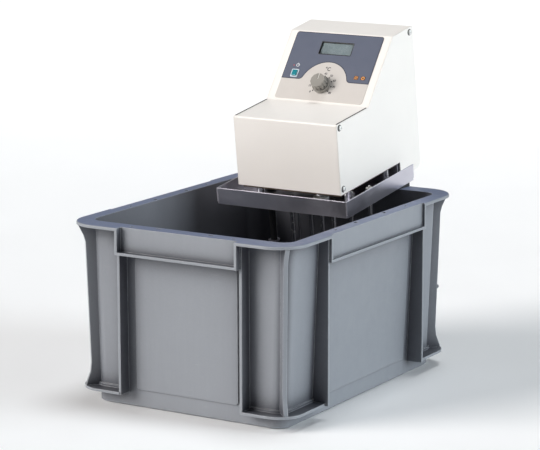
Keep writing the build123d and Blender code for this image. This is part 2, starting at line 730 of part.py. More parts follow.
def make_display_module():
    width, length = DISPLAY_SIZE
    module = slab(width + 8, length + 8, 1, CIRCUIT_Z + 1.6, -3.4, *DISPLAY_AT)
    return PANEL * (module + slab(width - 2, length - 2, 0.5, -3.5, -2.2, *DISPLAY_AT))


def circuit_holes():
    return [(x, y) for x in (-50, 50) for y in (48, 88)]


def make_circuit_board():
    board = slab(112, 62, 2, CIRCUIT_Z, CIRCUIT_Z + 1.6, 0, 61)
    for x, y in circuit_holes():
        board -= rod(x, y, CIRCUIT_Z, CIRCUIT_Z + 1.6, 1.6)
    board -= slab(24, 22, 2, CIRCUIT_Z, CIRCUIT_Z + 1.6, KNOB_AT[0], 28)
    return PANEL * board


def make_circuit_spacers():
    spacers = []
    for x, y in circuit_holes():
        pillar = rod(x, y, CIRCUIT_Z + 1.6, -SHEET, 3)
        spacers.append(pillar + rod(x, y, CIRCUIT_Z, CIRCUIT_Z + 1.6, 1.6))
    return PANEL * group(spacers)


def make_circuit_nuts():
    nuts = []
    for x, y in circuit_holes():
        nuts.append(rod(x, y, CIRCUIT_Z - 2.5, CIRCUIT_Z, 3))
    return PANEL * group(nuts)


def make_knob():
    x, y = KNOB_AT
    low = LABEL_T + 0.4
    skirt = Pos(x, y, low) * extrude(Circle(KNOB_R), 4.0)
    grip = Pos(x, y, low + 3.9) * extrude(Circle(KNOB_R - 1.3), KNOB_H - 4.3, taper=4)
    knob = skirt + grip
    flutes = 12
    for step in range(flutes):
        angle = radians(360 * step / flutes)
        flute_r = KNOB_R - 1.0
        knob -= rod(x + flute_r * cos(angle), y + flute_r * sin(angle), low + 5, 20, 1.4)
    knob -= rod(x, y, low - 1, low + 3.2, 7)
    knob -= rod(x, y, low, KNOB_H - 2.5, SPINDLE_R)
    knob -= box(x - 0.6, x + 0.6, y + 1.5, y + KNOB_R, KNOB_H - 0.3, KNOB_H + 1)
    return PANEL * knob


def make_knob_line():
    x, y = KNOB_AT
    top_r = KNOB_R - 2.2
    return PANEL * box(x - 0.6, x + 0.6, y + 1.5, y + top_r, KNOB_H - 0.3, KNOB_H + 0.1)


def make_potentiometer():
    x, y = KNOB_AT
    body = rod(x, y, -11.5, -2.2, 8.5) + rod(x, y, -2.3, LABEL_T + 3.0, 3.5)
    body += box(x - 6, x + 6, y - 14, y - 6, -6, -4.8)
    return PANEL * (body - rod(x, y, -9, LABEL_T + 4, SPINDLE_R + 0.05 - 0.6))


def make_potentiometer_nut():
    x, y = KNOB_AT
    return PANEL * nut(x, y, LABEL_T, LABEL_T + 2.2, 10, 3.5)


def make_spindle():
    x, y = KNOB_AT
    thin = SPINDLE_R - 0.6
    spindle = rod(x, y, -8.5, LABEL_T + 3.4, thin)
    return PANEL * (spindle + rod(x, y, LABEL_T + 3.4, KNOB_H - 2.5, SPINDLE_R))


def make_button_bezel():
    width, length = BUTTON_SIZE
    around = 2 * BUTTON_RIM - GAP
    bezel = slab(width + around, length + around, 1.5, 0, LABEL_T + 0.8, *BUTTON_AT)
    bezel += slab(width + 1.6 - GAP, length + 1.6 - GAP, 1, -3, 0, *BUTTON_AT)
    bezel -= slab(width, length, 0.8, -4, 3, *BUTTON_AT)
    return PANEL * bezel


def make_button():
    width, length = BUTTON_SIZE
    cap = slab(width - 0.4, length - 0.4, 0.7, -2.4, LABEL_T + 2.2, *BUTTON_AT)
    cap = fillet(cap.edges().group_by(Axis.Z)[-1], 0.5)
    return PANEL * cap


def make_switch_body():
    return PANEL * slab(12, 13, 0.5, CIRCUIT_Z + 1.6, -4.4, *BUTTON_AT)


def make_lamps():
    lamps = []
    for x in LAMPS_X:
        lens = slab(LAMP_SIZE[0] - GAP, LAMP_SIZE[1] - GAP, 0.7, -4, LABEL_T + 0.4, x, LAMPS_Y)
        lamps.append(lens + rod(x, LAMPS_Y, CIRCUIT_Z + 1.6, -4, 1.5))
    return PANEL * group(lamps)


# ---------------------------------------------------------------- electrics
def make_transformer():
    """Laminated core, winding and mounting feet."""
    x, y = -37.5, 48.0
    core = box(x - 19.5, x + 19.5, y - 16, y + 16, SHEET + 2, SHEET + 36)
    winding = box(x - 12, x + 12, y - 24, y + 24, SHEET + 8, SHEET + 30)
    winding = fillet(winding.edges().filter_by(Axis.Z), 5)
    feet = box(x - 23.5, x + 22, y - 10, y + 10, SHEET, SHEET + 2)
    return core + winding + feet


def make_relay():
    """Solid-state relay that switches the heater, on a finned heat sink."""
    relay = box(14, 57, 90, 113, SHEET + 16, SHEET + 30)
    return fillet(relay.edges().filter_by(Axis.Z), 2)


def make_heat_sink():
    sink = box(10, 61, 86, 117, SHEET + 11, SHEET + 16)
    for step in range(8):
        left = 10 + step * 7.07
        sink += box(left, left + 1.5, 86, 117, SHEET, SHEET + 11)
    return sink


def make_terminal_block():
    block = box(-60, -8, 92, 112, SHEET, SHEET + 14)
    for step in range(6):
        x = -55 + step * 8.4
        block -= rod(x, 102, SHEET + 6, SHEET + 15, 2.6)
    return block


def make_terminal_screws():
    screws = []
    for step in range(6):
        x = -55 + step * 8.4
        slot = box(x - 0.4, x + 0.4, 99, 105, SHEET + 9.2, SHEET + 11)
        screws.append(rod(x, 102, SHEET + 6, SHEET + 10, 2.6) - slot)
    return group(screws)


def make_inlet():
    """Appliance inlet, a moulded socket with a flange outside the back panel."""
    x, z = INLET_AT
    body = box(x - 13.9, x + 13.9, BACK_Y - 22, BACK_Y, z - 10.4, z + 10.4)
    flange = box(x - 24, x + 24, BACK_Y, BACK_Y + 3, z - 12, z + 12)
    flange = fillet(flange.edges().filter_by(Axis.Y), 5)
    inlet = body + flange
    return inlet - box(x - 11.5, x + 11.5, BACK_Y - 16, BACK_Y + 4, z - 8, z + 8)


def make_inlet_pins():
    x, z = INLET_AT
    pins = []
    for dx, dz in ((-7, -1.8), (0, 1.8), (7, -1.8)):
        pins.append(box(x + dx - 1, x + dx + 1, BACK_Y - 16, BACK_Y - 2, z + dz - 2, z + dz + 2))
    return group(pins)


def make_fuse_holder():
    x, z = FUSE_AT
    along = Rot(X=90)
    holder = Pos(x, BACK_Y + 1, z) * along * Cylinder(8.5, 2)
    holder += Pos(x, BACK_Y - 12, z) * along * Cylinder(6.4, 24)
    return holder - Pos(x, BACK_Y - 2, z) * along * Cylinder(4.6, 30)


def make_fuse_cap():
    x, z = FUSE_AT
    along = Rot(X=90)
    cap = Pos(x, BACK_Y + 4, z) * along * Cylinder(6.5, 4)
    cap += Pos(x, BACK_Y - 5, z) * along * Cylinder(4.5, 14)
    return cap - Pos(x, BACK_Y + 5.8, z) * Box(9, 1.6, 1.4)


# ---------------------------------------------------------------- all the pieces
def unit_parts():
    tray_bush, guard_bush = make_bushes()
    return {
        "tray": make_tray(),
        "rear_pads": make_rear_pads(),
        "support_legs": make_legs(),
        "leg_nuts": make_leg_nuts(),
        "leg_feet": make_leg_feet(),
        "guard_plate": make_guard_plate(),
        "tray_bush": tray_bush,
        "guard_bush": guard_bush,
        "stirrer_motor": make_motor(),
        "motor_bracket": make_motor_bracket(),
        "motor_shaft": rod(STIR_X, STIR_Y, -3, 38, 2.5),
        "shaft_coupling": make_coupling(),
        "stirrer_shaft": rod(STIR_X, STIR_Y, GUARD_Z - 4, -3, SHAFT_R),
        "propeller": make_propeller(),
        "heater_element": make_heater(),
        "heater_glands": make_heater_glands(),
        "heater_terminals": make_heater_caps(),
        "temperature_probe": make_probe(),
        "probe_gland": make_probe_gland(),
        "level_switch_stem": make_level_stem(),
        "level_switch_stops": make_float_stops(),
        "level_float": make_float(),
        "front_cover": make_cover(),
        "left_side_panel": make_side_panel(-1),
        "right_side_panel": make_side_panel(1),
        "seam_seals": make_seam_seals(),
        "side_screws": make_side_screws(),
        "screw_washers": make_screw_washers(),
        "back_panel": make_back_panel(),
        "back_screws": make_back_screws(),
        "base_plate": make_base_plate(),
        "heat_board": make_board(),
        "spacer_posts": make_posts(),
        "post_screws": make_post_screws(),
        "control_label": make_label(),
        "display_bezel": make_display_bezel(),
        "display_window": make_display_window(),
        "display_module": make_display_module(),
        "circuit_board": make_circuit_board(),
        "circuit_spacers": make_circuit_spacers(),
        "circuit_nuts": make_circuit_nuts(),
        "temperature_knob": make_knob(),
        "knob_line": make_knob_line(),
        "potentiometer": make_potentiometer(),
        "potentiometer_nut": make_potentiometer_nut(),
        "potentiometer_spindle": make_spindle(),
        "power_button": make_button(),
        "button_bezel": make_button_bezel(),
        "power_switch": make_switch_body(),
        "indicator_lamps": make_lamps(),
        "transformer": make_transformer(),
        "heater_relay": make_relay(),
        "heat_sink": make_heat_sink(),
        "terminal_block": make_terminal_block(),
        "terminal_screws": make_terminal_screws(),
        "power_inlet": make_inlet(),
        "inlet_pins": make_inlet_pins(),
        "fuse_holder": make_fuse_holder(),
        "fuse_cap": make_fuse_cap(),
    }


def write_all():
    os.makedirs("parts", exist_ok=True)
    export_step(make_tub(), "parts/tub.step")
    for name, part in unit_parts().items():
        export_step(UNIT * part, f"parts/{name}.step")


write_all()
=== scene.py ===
import json
import math

import bpy
from mathutils import Matrix, Vector


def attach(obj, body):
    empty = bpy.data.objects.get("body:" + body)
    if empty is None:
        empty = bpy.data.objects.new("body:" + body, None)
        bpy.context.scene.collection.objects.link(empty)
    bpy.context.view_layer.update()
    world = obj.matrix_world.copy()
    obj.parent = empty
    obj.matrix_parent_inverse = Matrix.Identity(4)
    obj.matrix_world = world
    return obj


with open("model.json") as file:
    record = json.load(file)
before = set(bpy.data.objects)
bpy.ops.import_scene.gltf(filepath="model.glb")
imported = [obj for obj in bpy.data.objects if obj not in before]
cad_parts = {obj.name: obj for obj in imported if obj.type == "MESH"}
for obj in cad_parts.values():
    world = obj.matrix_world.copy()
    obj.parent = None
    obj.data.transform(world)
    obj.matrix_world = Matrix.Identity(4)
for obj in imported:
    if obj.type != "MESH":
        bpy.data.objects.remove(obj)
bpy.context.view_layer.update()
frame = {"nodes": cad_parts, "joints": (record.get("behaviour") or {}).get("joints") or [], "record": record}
nodes = frame["nodes"]
joints = {joint["name"]: joint for joint in frame["joints"]}
MM = 0.001


# ---------------------------------------------------------------- camera
CAMERA_SENSOR = 36
CAMERA_LENS = 159.9
CAMERA_PLACE = (1.4279, -2.3627, 0.7390)
CAMERA_TURN = (78.717, 0.077, 31.084)
CAMERA_FAR = 30


def make_camera():
    data = bpy.data.cameras.new("camera")
    data.sensor_width = CAMERA_SENSOR
    data.lens = CAMERA_LENS
    data.clip_end = CAMERA_FAR
    camera = bpy.data.objects.new("camera", data)
    camera.location = CAMERA_PLACE
    camera.rotation_euler = [math.radians(angle) for angle in CAMERA_TURN]
    bpy.context.scene.collection.objects.link(camera)
    bpy.context.scene.camera = camera


make_camera()


# ---------------------------------------------------------------- node materials
EDGE_SAMPLES = 4
EDGE_SHARP = (0.98, 0.80)       # cosine between true and rounded normal, from flat to sharp
RECESS_SAMPLES = 6
RIM_TOP = (0.204, 0.208)        # the tub's rim starts and ends its painted blue shade here, metres up
INSIDE = 0.120                  # the tub's inner faces lie at least this far from its middle
BLEND = 0.003


class Surface:
    """One node material, built up from procedural textures in the object's own metres."""

    def __init__(self, name, colour, roughness, metallic=0.0, **sockets):
        self.material = bpy.data.materials.new(name)
        self.material.use_nodes = True
        self.tree = self.material.node_tree
        self.bsdf = self.tree.nodes["Principled BSDF"]
        self.bsdf.inputs["Base Color"].default_value = (*colour, 1)
        self.bsdf.inputs["Roughness"].default_value = roughness
        self.bsdf.inputs["Metallic"].default_value = metallic
        for socket, value in sockets.items():
            self.bsdf.inputs[socket.replace("_", " ")].default_value = value
        self.coords = self.tree.nodes.new("ShaderNodeTexCoord").outputs["Object"]
        self.relief = None

    def link(self, value, socket):
        """Feeds a socket from another socket, or gives it a constant."""
        if isinstance(value, bpy.types.NodeSocket):
            self.tree.links.new(value, socket)
        else:
            socket.default_value = value

    def noise(self, size, stretch=(1, 1, 1), detail=3.0, roughness=0.55, turn=(0, 0, 0)):
        """Noise with features about size metres across, drawn out along an axis by a small stretch."""
        mapping = self.tree.nodes.new("ShaderNodeMapping")
        mapping.inputs["Scale"].default_value = stretch
        mapping.inputs["Rotation"].default_value = turn
        self.tree.links.new(self.coords, mapping.inputs["Vector"])
        texture = self.tree.nodes.new("ShaderNodeTexNoise")
        texture.inputs["Scale"].default_value = 1 / size
        texture.inputs["Detail"].default_value = detail
        texture.inputs["Roughness"].default_value = roughness
        self.tree.links.new(mapping.outputs["Vector"], texture.inputs["Vector"])
        return texture.outputs["Fac"]

    def span(self, value, low, high, to_low=0.0, to_high=1.0):
        """Maps value from low..high to to_low..to_high, clamped."""
        node = self.tree.nodes.new("ShaderNodeMapRange")
        node.inputs["From Min"].default_value = low
        node.inputs["From Max"].default_value = high
        node.inputs["To Min"].default_value = to_low
        node.inputs["To Max"].default_value = to_high
        self.link(value, node.inputs["Value"])
        return node.outputs["Result"]

    def math(self, operation, a, b=0.0):
        """One step of arithmetic on sockets or numbers."""
        node = self.tree.nodes.new("ShaderNodeMath")
        node.operation = operation
        self.link(a, node.inputs[0])
        self.link(b, node.inputs[1])
        return node.outputs["Value"]

    def mix(self, factor, a, b):
        """Colour a where factor is 0, colour b where it is 1."""
        node = self.tree.nodes.new("ShaderNodeMix")
        node.data_type = "RGBA"
        self.link(factor, node.inputs["Factor"])
        self.link(a if isinstance(a, bpy.types.NodeSocket) else (*a, 1), node.inputs["A"])
        self.link(b if isinstance(b, bpy.types.NodeSocket) else (*b, 1), node.inputs["B"])
        return node.outputs["Result"]

    def axis(self, index):
        """One coordinate: 0 is X, 1 is Y and 2 is Z."""
        node = self.tree.nodes.new("ShaderNodeSeparateXYZ")
        self.tree.links.new(self.coords, node.inputs["Vector"])
        return node.outputs[index]

    def edges(self, radius):
        """(rounded normal, mask that is 1 on sharp edges)."""
        bevel = self.tree.nodes.new("ShaderNodeBevel")
        bevel.samples = EDGE_SAMPLES
        bevel.inputs["Radius"].default_value = radius
        cosine = self.dot(bevel.outputs["Normal"], self.normal())
        return bevel.outputs["Normal"], self.span(cosine, *EDGE_SHARP)

    def normal(self):
        return self.tree.nodes.new("ShaderNodeNewGeometry").outputs["Normal"]

    def dot(self, a, b):
        node = self.tree.nodes.new("ShaderNodeVectorMath")
        node.operation = "DOT_PRODUCT"
        self.tree.links.new(a, node.inputs[0])
        self.tree.links.new(b, node.inputs[1])
        return node.outputs["Value"]

    def facing_up(self):
        """1 on level faces that look up, 0 on upright ones."""
        node = self.tree.nodes.new("ShaderNodeSeparateXYZ")
        self.tree.links.new(self.normal(), node.inputs["Vector"])
        return node.outputs["Z"]

    def inward(self, distance):
        """1 on faces that look back at the origin from a plane over distance metres from it."""
        offset = self.dot(self.normal(), self.coords)
        return self.span(offset, -distance - BLEND, -distance + BLEND, 1.0, 0.0)

    def recess(self, distance):
        """1 on open faces, lower in corners and pockets."""
        node = self.tree.nodes.new("ShaderNodeAmbientOcclusion")
        node.samples = RECESS_SAMPLES
        node.only_local = True
        node.inputs["Distance"].default_value = distance
        return node.outputs["AO"]

    def colour(self, value):
        self.tree.links.new(value, self.bsdf.inputs["Base Color"])

    def rough(self, value):
        self.tree.links.new(value, self.bsdf.inputs["Roughness"])

    def bump(self, height, depth, normal=None):
        """Relief of depth metres, on top of normal or of any relief already given."""
        node = self.tree.nodes.new("ShaderNodeBump")
        node.inputs["Strength"].default_value = 1.0
        node.inputs["Distance"].default_value = depth
        self.tree.links.new(height, node.inputs["Height"])
        previous = normal if normal is not None else self.relief
        if previous is not None:
            self.tree.links.new(previous, node.inputs["Normal"])
        self.relief = node.outputs["Normal"]
        self.tree.links.new(self.relief, self.bsdf.inputs["Normal"])


def shade(colour, factor):
    return tuple(channel * factor for channel in colour)


def paler(colour, factor, lift=0.0):
    return tuple(min(1, channel * factor + lift) for channel in colour)


def moulded_plastic(name, colour, roughness=0.45, grain=0.0005, contrast=0.10, edge=1.25, recess_shade=0.0):
    """Injection-moulded plastic: fine spark-eroded grain, slight mottling, edges painted paler as a
    highlight.

    The last argument paints shade into grooves about a millimetre wide.
    """
    s = Surface(name, colour, roughness)
    normal, mask = s.edges(0.0006)
    mottle = s.noise(0.03, detail=5)
    base = s.mix(mottle, shade(colour, 1 - contrast), shade(colour, 1 + contrast))
    if recess_shade:
        # painted shade: grooves and recesses found by ambient occlusion are darkened
        base = s.mix(s.span(s.recess(0.003), 0.45, 0.9, recess_shade, 0.0), base, shade(colour, 0.12))
    # painted highlight: sharp edges are painted paler, broken up by noise
    edge_highlight = s.math("MULTIPLY", mask, s.span(s.noise(0.008), 0.3, 0.6, 0.4, 1.0))
    s.colour(s.mix(edge_highlight, base, paler(colour, edge, 0.02)))
    s.rough(s.span(s.noise(0.012, detail=4), 0.3, 0.7, roughness - 0.08, roughness + 0.10))
    s.bump(s.noise(grain, detail=2), 0.00002, normal)
    return s.material


def tub_plastic():
    """Grey polypropylene: flow marks, specks and scuffs, with painted shade: a darker blue on the rim's top,
    darker recesses and a darker inside; and edges painted pale as a highlight."""
    grey = (0.240, 0.256, 0.282)
    s = Surface("tub_plastic", grey, 0.42)
    normal, mask = s.edges(0.0011)
    cloud = s.noise(0.09, detail=6)
    streak = s.noise(0.004, stretch=(1, 1, 0.05), detail=4)
    speck = s.noise(0.0011, detail=2)
    base = s.mix(cloud, shade(grey, 0.93), shade(grey, 1.07))
    base = s.mix(s.span(streak, 0.45, 0.75, 0.0, 0.18), base, shade(grey, 1.14))
    base = s.mix(s.span(speck, 0.62, 0.75, 0.0, 0.20), base, shade(grey, 0.76))
    scuff = s.noise(0.0016, stretch=(0.10, 0.10, 1), detail=3, turn=(0.2, 0.3, 0.5))
    marks = s.math("MULTIPLY", s.span(scuff, 0.66, 0.74), s.span(s.noise(0.05), 0.50, 0.66))
    base = s.mix(s.math("MULTIPLY", marks, 0.4), base, (0.38, 0.39, 0.40))
    # painted shade: the rim's upward faces are given a darker blue
    rim_top_shade = s.math("MULTIPLY", s.span(s.facing_up(), 0.80, 0.97), s.span(s.axis(2), *RIM_TOP))
    base = s.mix(s.math("MULTIPLY", rim_top_shade, 0.75), base, (0.125, 0.155, 0.265))
    # painted shade: faces inside the tub are darkened
    base = s.mix(s.math("MULTIPLY", s.inward(INSIDE), 0.55), base, (0.075, 0.072, 0.088))
    # painted shade: faces deep in the tub, found by ambient occlusion, go near black
    deep_shade = s.span(s.recess(0.16), 0.40, 0.95, 0.90, 0.0)
    base = s.mix(deep_shade, base, (0.028, 0.026, 0.036))
    # painted shade: rib pockets, corners and other recesses within a few centimetres are darkened
    recess_shade = s.span(s.recess(0.022), 0.50, 0.82, 0.85, 0.0)
    base = s.mix(recess_shade, base, (0.055, 0.060, 0.075))
    # painted highlight: sharp edges are painted pale, broken up by noise
    pale_edge_highlight = s.math("MULTIPLY", mask, s.span(s.noise(0.015, detail=4), 0.25, 0.6, 0.35, 0.9))
    s.colour(s.mix(pale_edge_highlight, base, (0.52, 0.54, 0.57)))
    s.rough(s.span(s.noise(0.02, detail=5), 0.3, 0.7, 0.38, 0.54))
    s.bump(s.noise(0.0006, detail=2), 0.000022, normal)
    s.bump(s.noise(0.05, detail=1), 0.00012)
    s.bump(marks, 0.00002)
    return s.material


def powder_coat(name, colour, roughness=0.42):
    """Baked enamel on sheet steel: fine orange peel, faintly uneven tone and edges painted paler as a
    highlight.
    """
    s = Surface(name, colour, roughness, Coat_Weight=0.12, Coat_Roughness=0.25)
    normal, mask = s.edges(0.0007)
    tone = s.mix(s.noise(0.06, detail=4), shade(colour, 0.975), shade(colour, 1.015))
    # painted highlight: sharp edges are painted a little paler
    s.colour(s.mix(s.math("MULTIPLY", mask, 0.35), tone, shade(colour, 1.06)))
    s.rough(s.span(s.noise(0.018, detail=5), 0.3, 0.7, roughness - 0.06, roughness + 0.08))
    s.bump(s.noise(0.0009, detail=2), 0.00003, normal)
    s.bump(s.noise(0.035, detail=1), 0.00010)
    return s.material


def brushed_metal(name, colour, roughness, stretch, edge=1.3, contrast=0.12, edge_gleam=0.0):
    """Metal with fine lines drawn along the axis whose stretch is small.

    edge paints the edges paler as a highlight; the last argument takes that much metal out of them as well,
    a painted highlight that makes them look lit from all sides.
    """
    s = Surface(name, colour, roughness, 1.0)
    normal, mask = s.edges(0.0009 if edge_gleam else 0.0004)
    lines = s.noise(0.0006, stretch=stretch, detail=4)
    smudge = s.noise(0.03, detail=4)
    tone = s.mix(lines, shade(colour, 1 - contrast), shade(colour, 1 + contrast))
    tone = s.mix(s.span(smudge, 0.5, 0.8, 0.0, 0.3), tone, shade(colour, 0.80))
    # painted highlight: sharp edges are painted paler
    s.colour(s.mix(mask, tone, paler(colour, edge)))
    drawn = s.span(lines, 0.3, 0.7, roughness - 0.75 * contrast, roughness + 0.5 * contrast)
    s.rough(s.math("ADD", drawn, s.span(smudge, 0.4, 0.8, 0.0, 0.08)))
    s.bump(lines, 0.0001 * contrast, normal)
    # painted highlight: the edges lose their metal and show pale
    if edge_gleam:
        metal = s.math("SUBTRACT", 1.0, s.math("MULTIPLY", mask, edge_gleam))
        s.link(metal, s.bsdf.inputs["Metallic"])
    return s.material


def plated_metal(name, colour, roughness=0.30, size=0.004):
    """Zinc or nickel plate: blotchy tone and a soft grain."""
    s = Surface(name, colour, roughness, 1.0)
    normal, mask = s.edges(0.0003)
    blotch = s.noise(size, detail=5, roughness=0.7)
    tone = s.mix(blotch, shade(colour, 0.80), shade(colour, 1.12))
    # painted highlight: sharp edges are painted pale
    s.colour(s.mix(mask, tone, (0.85, 0.85, 0.84)))
    s.rough(s.span(blotch, 0.3, 0.7, roughness - 0.08, roughness + 0.14))
    s.bump(s.noise(0.0004, detail=2), 0.000010, normal)
    return s.material


def soft_rubber(name):
    """Black rubber: dusty, pitted and without gloss."""
    s = Surface(name, (0.018, 0.018, 0.019), 0.78)
    dust = s.noise(0.006, detail=5)
    s.colour(s.mix(s.span(dust, 0.45, 0.8), (0.014, 0.014, 0.015), (0.055, 0.053, 0.050)))
    s.rough(s.span(dust, 0.3, 0.7, 0.70, 0.88))
    s.bump(s.noise(0.0005, detail=3), 0.00004)
    return s.material


def printed_film(name, colour, roughness=0.34):
    """Screen-printed polyester film with a fine velvet texture."""
    s = Surface(name, colour, roughness, Coat_Weight=0.06, Coat_Roughness=0.2)
    s.colour(s.mix(s.noise(0.02, detail=4), shade(colour, 0.95), shade(colour, 1.05)))
    s.rough(s.span(s.noise(0.008, detail=3), 0.3, 0.7, roughness - 0.05, roughness + 0.07))
    s.bump(s.noise(0.00025, detail=2), 0.000006)
    return s.material


def pressed_board():
    """Brown fibre board with flecks."""
    s = Surface("heat_board", (0.11, 0.07, 0.045), 0.7)
    fleck = s.noise(0.0022, stretch=(0.3, 1, 1), detail=5, roughness=0.7)
    s.colour(s.mix(s.span(fleck, 0.35, 0.7), (0.06, 0.038, 0.024), (0.20, 0.13, 0.085)))
    s.rough(s.span(fleck, 0.3, 0.7, 0.6, 0.82))
    s.bump(fleck, 0.00006)
    return s.material


def circuit_lacquer():
    """Green solder mask with copper tracks under it."""
    s = Surface("circuit_green", (0.02, 0.16, 0.06), 0.3, Coat_Weight=0.3, Coat_Roughness=0.15)
    tracks = s.noise(0.004, stretch=(1, 0.25, 0.25), detail=1)
    s.colour(s.mix(s.span(tracks, 0.48, 0.52), (0.012, 0.11, 0.045), (0.04, 0.24, 0.09)))
    s.rough(s.span(s.noise(0.01), 0.3, 0.7, 0.24, 0.38))
    s.bump(s.span(tracks, 0.48, 0.52), 0.00003)
    return s.material


def laminations():
    """Varnished transformer steel, stacked in sheets of one millimetre."""
    s = Surface("transformer_steel", (0.10, 0.09, 0.085), 0.45, 0.7)
    layer = s.math("SINE", s.math("MULTIPLY", s.axis(2), math.tau / MM))
    s.colour(s.mix(s.span(layer, -1, 1), (0.05, 0.045, 0.04), (0.17, 0.15, 0.13)))
    s.rough(s.span(s.noise(0.01, detail=4), 0.3, 0.7, 0.36, 0.6))
    s.bump(layer, 0.00008)
    return s.material


def liquid_crystal():
    """Unlit liquid-crystal face: uneven blue-grey with a fine electrode pattern."""
    s = Surface("display_face", (0.40, 0.46, 0.49), 0.25, Coat_Weight=0.5, Coat_Roughness=0.05)
    grid = s.noise(0.0012, stretch=(1, 0.4, 0.4), detail=1)
    tone = s.mix(s.noise(0.02, detail=3), (0.37, 0.43, 0.46), (0.43, 0.49, 0.52))
    s.colour(s.mix(s.span(grid, 0.5, 0.6, 0.0, 0.12), tone, (0.28, 0.33, 0.36)))
    s.rough(s.span(s.noise(0.006), 0.3, 0.7, 0.2, 0.32))
    s.bump(grid, 0.000004)
    return s.material


def clear_window():
    """Clear moulded pane with the faintest hairline scratches."""
    s = Surface("window_clear", (0.93, 0.97, 0.97), 0.04, Transmission_Weight=1.0, IOR=1.49)
    hairline = s.noise(0.0008, stretch=(0.04, 1, 1), detail=2)
    s.rough(s.span(hairline, 0.62, 0.75, 0.03, 0.14))
    s.colour(s.mix(s.noise(0.01), (0.90, 0.95, 0.95), (0.97, 0.99, 0.99)))
    s.bump(hairline, 0.000003)
    return s.material


def tinted_lens(name, colour, glow=0.0):
    """Tinted lamp lens; glow lights it from behind."""
    s = Surface(name, colour, 0.25, Coat_Weight=0.6, Coat_Roughness=0.08, Emission_Strength=glow)
    s.bsdf.inputs["Emission Color"].default_value = (*colour, 1)
    s.colour(s.mix(s.noise(0.002, detail=3), shade(colour, 0.85), shade(colour, 1.15)))
    s.bump(s.noise(0.0007, detail=1), 0.000015)
    return s.material


def fired_clay():
    """Unglazed white ceramic with pin holes."""
    s = Surface("ceramic", (0.82, 0.80, 0.75), 0.6)
    pore = s.noise(0.0005, detail=3)
    s.colour(s.mix(s.span(pore, 0.6, 0.75), (0.83, 0.81, 0.77), (0.62, 0.59, 0.54)))
    s.rough(s.span(s.noise(0.004), 0.3, 0.7, 0.52, 0.7))
    s.bump(pore, 0.00003)
    return s.material


CREAM = (0.85, 0.815, 0.775)
ALONG_X = (0.02, 1, 1)
MATERIALS = {
    "tub_plastic": tub_plastic(),
    "stainless": brushed_metal(
        "stainless", (0.62, 0.61, 0.68), 0.30, ALONG_X, contrast=0.012, edge_gleam=0.95
    ),
    "stainless_rod": brushed_metal("stainless_rod", (0.66, 0.66, 0.67), 0.20, (1, 1, 0.02)),
    "plated_steel": plated_metal("plated_steel", (0.84, 0.84, 0.82), 0.42),
    "zinc_sheet": plated_metal("zinc_sheet", (0.50, 0.52, 0.54), 0.38, 0.012),
    "black_rubber": soft_rubber("black_rubber"),
    "white_enamel": powder_coat("white_enamel", CREAM),
    "heat_board": pressed_board(),
    "alloy": brushed_metal("alloy", (0.70, 0.71, 0.72), 0.32, (1, 1, 0.03)),
    "panel_film": printed_film("panel_film", (0.575, 0.54, 0.508)),
    "black_plastic": moulded_plastic("black_plastic", (0.018, 0.018, 0.020), 0.38, edge=2.2),
    "white_plastic": moulded_plastic("white_plastic", (0.74, 0.73, 0.70), 0.4, edge=1.08),
    "display_glass": clear_window(),
    "display_module": liquid_crystal(),
    "circuit_green": circuit_lacquer(),
    "knob_grey": moulded_plastic("knob_grey", (0.26, 0.245, 0.22), 0.40, edge=1.7, recess_shade=0.9),
    "pointer_white": moulded_plastic("pointer_white", (0.66, 0.64, 0.60), 0.4, edge=1.1),
    "button_teal": tinted_lens("button_teal", (0.004, 0.19, 0.23), 0.1),
    "bezel_grey": moulded_plastic("bezel_grey", (0.58, 0.68, 0.74), 0.35, edge=1.15),
    "lamp_orange": tinted_lens("lamp_orange", (0.13, 0.075, 0.05)),
    "motor_black": powder_coat("motor_black", (0.02, 0.02, 0.022), 0.4),
    "transformer_steel": laminations(),
    "ceramic": fired_clay(),
    "brass": plated_metal("brass", (0.60, 0.42, 0.18), 0.28),
    "float_white": moulded_plastic("float_white", (0.70, 0.70, 0.66), 0.42, edge=1.08),
}


def dress_cad_nodes():
    """Gives each CAD node the material of its slot."""
    for part in frame["record"]["subparts"]:
        obj = nodes[part["node"]]
        obj.data.materials.clear()
        obj.data.materials.append(MATERIALS[part["material_slot"]])


dress_cad_nodes()


# ---------------------------------------------------------------- the sloping panel's own frame
# Sizes on the panel are in millimetres.
KNOB_ON_PANEL = (-1.2, 24.2)
FILM = 0.4                      # thickness of the CAD label
PRINT = 0.05                    # thickness of one printed layer


def make_panel_matrix():
    """Panel frame in metres: X across, Y up the slope, Z out; its origin is the foot of the slope."""
    knob = joints["knob_turn"]
    out = -Vector(knob["axis"])
    upright = Vector(joints["stirrer_spin"]["axis"])
    across = upright.cross(out).normalized()
    uphill = out.cross(across).normalized()
    matrix = Matrix((across, uphill, out)).transposed().to_4x4()
    offset = across * KNOB_ON_PANEL[0] + uphill * KNOB_ON_PANEL[1]
    matrix.translation = Vector(knob["pos_m"]) - offset * MM
    return matrix


PANEL = make_panel_matrix() @ Matrix.Scale(MM, 4)
PANEL_BODY = "control_unit"


def arc(x, y, radius, start, end, steps=16):
    """Points on an arc, angles in degrees."""
    points = []
    for step in range(steps + 1):
        angle = math.radians(start + (end - start) * step / steps)
        points.append((x + radius * math.cos(angle), y + radius * math.sin(angle)))
    return points


def rounded_box(x, y, width, height, radius):
    """Outline of a rectangle centred on x, y, with rounded corners."""
    right, top = width / 2 - radius, height / 2 - radius
    corners = ((right, top, 0), (-right, top, 90), (-right, -top, 180), (right, -top, 270))
    points = []
    for dx, dy, start in corners:
        points += arc(x + dx, y + dy, radius, start, start + 90, 6)
    return points


def circle(x, y, radius, steps=32):
    return arc(x, y, radius, 0, 360, steps)[:-1]


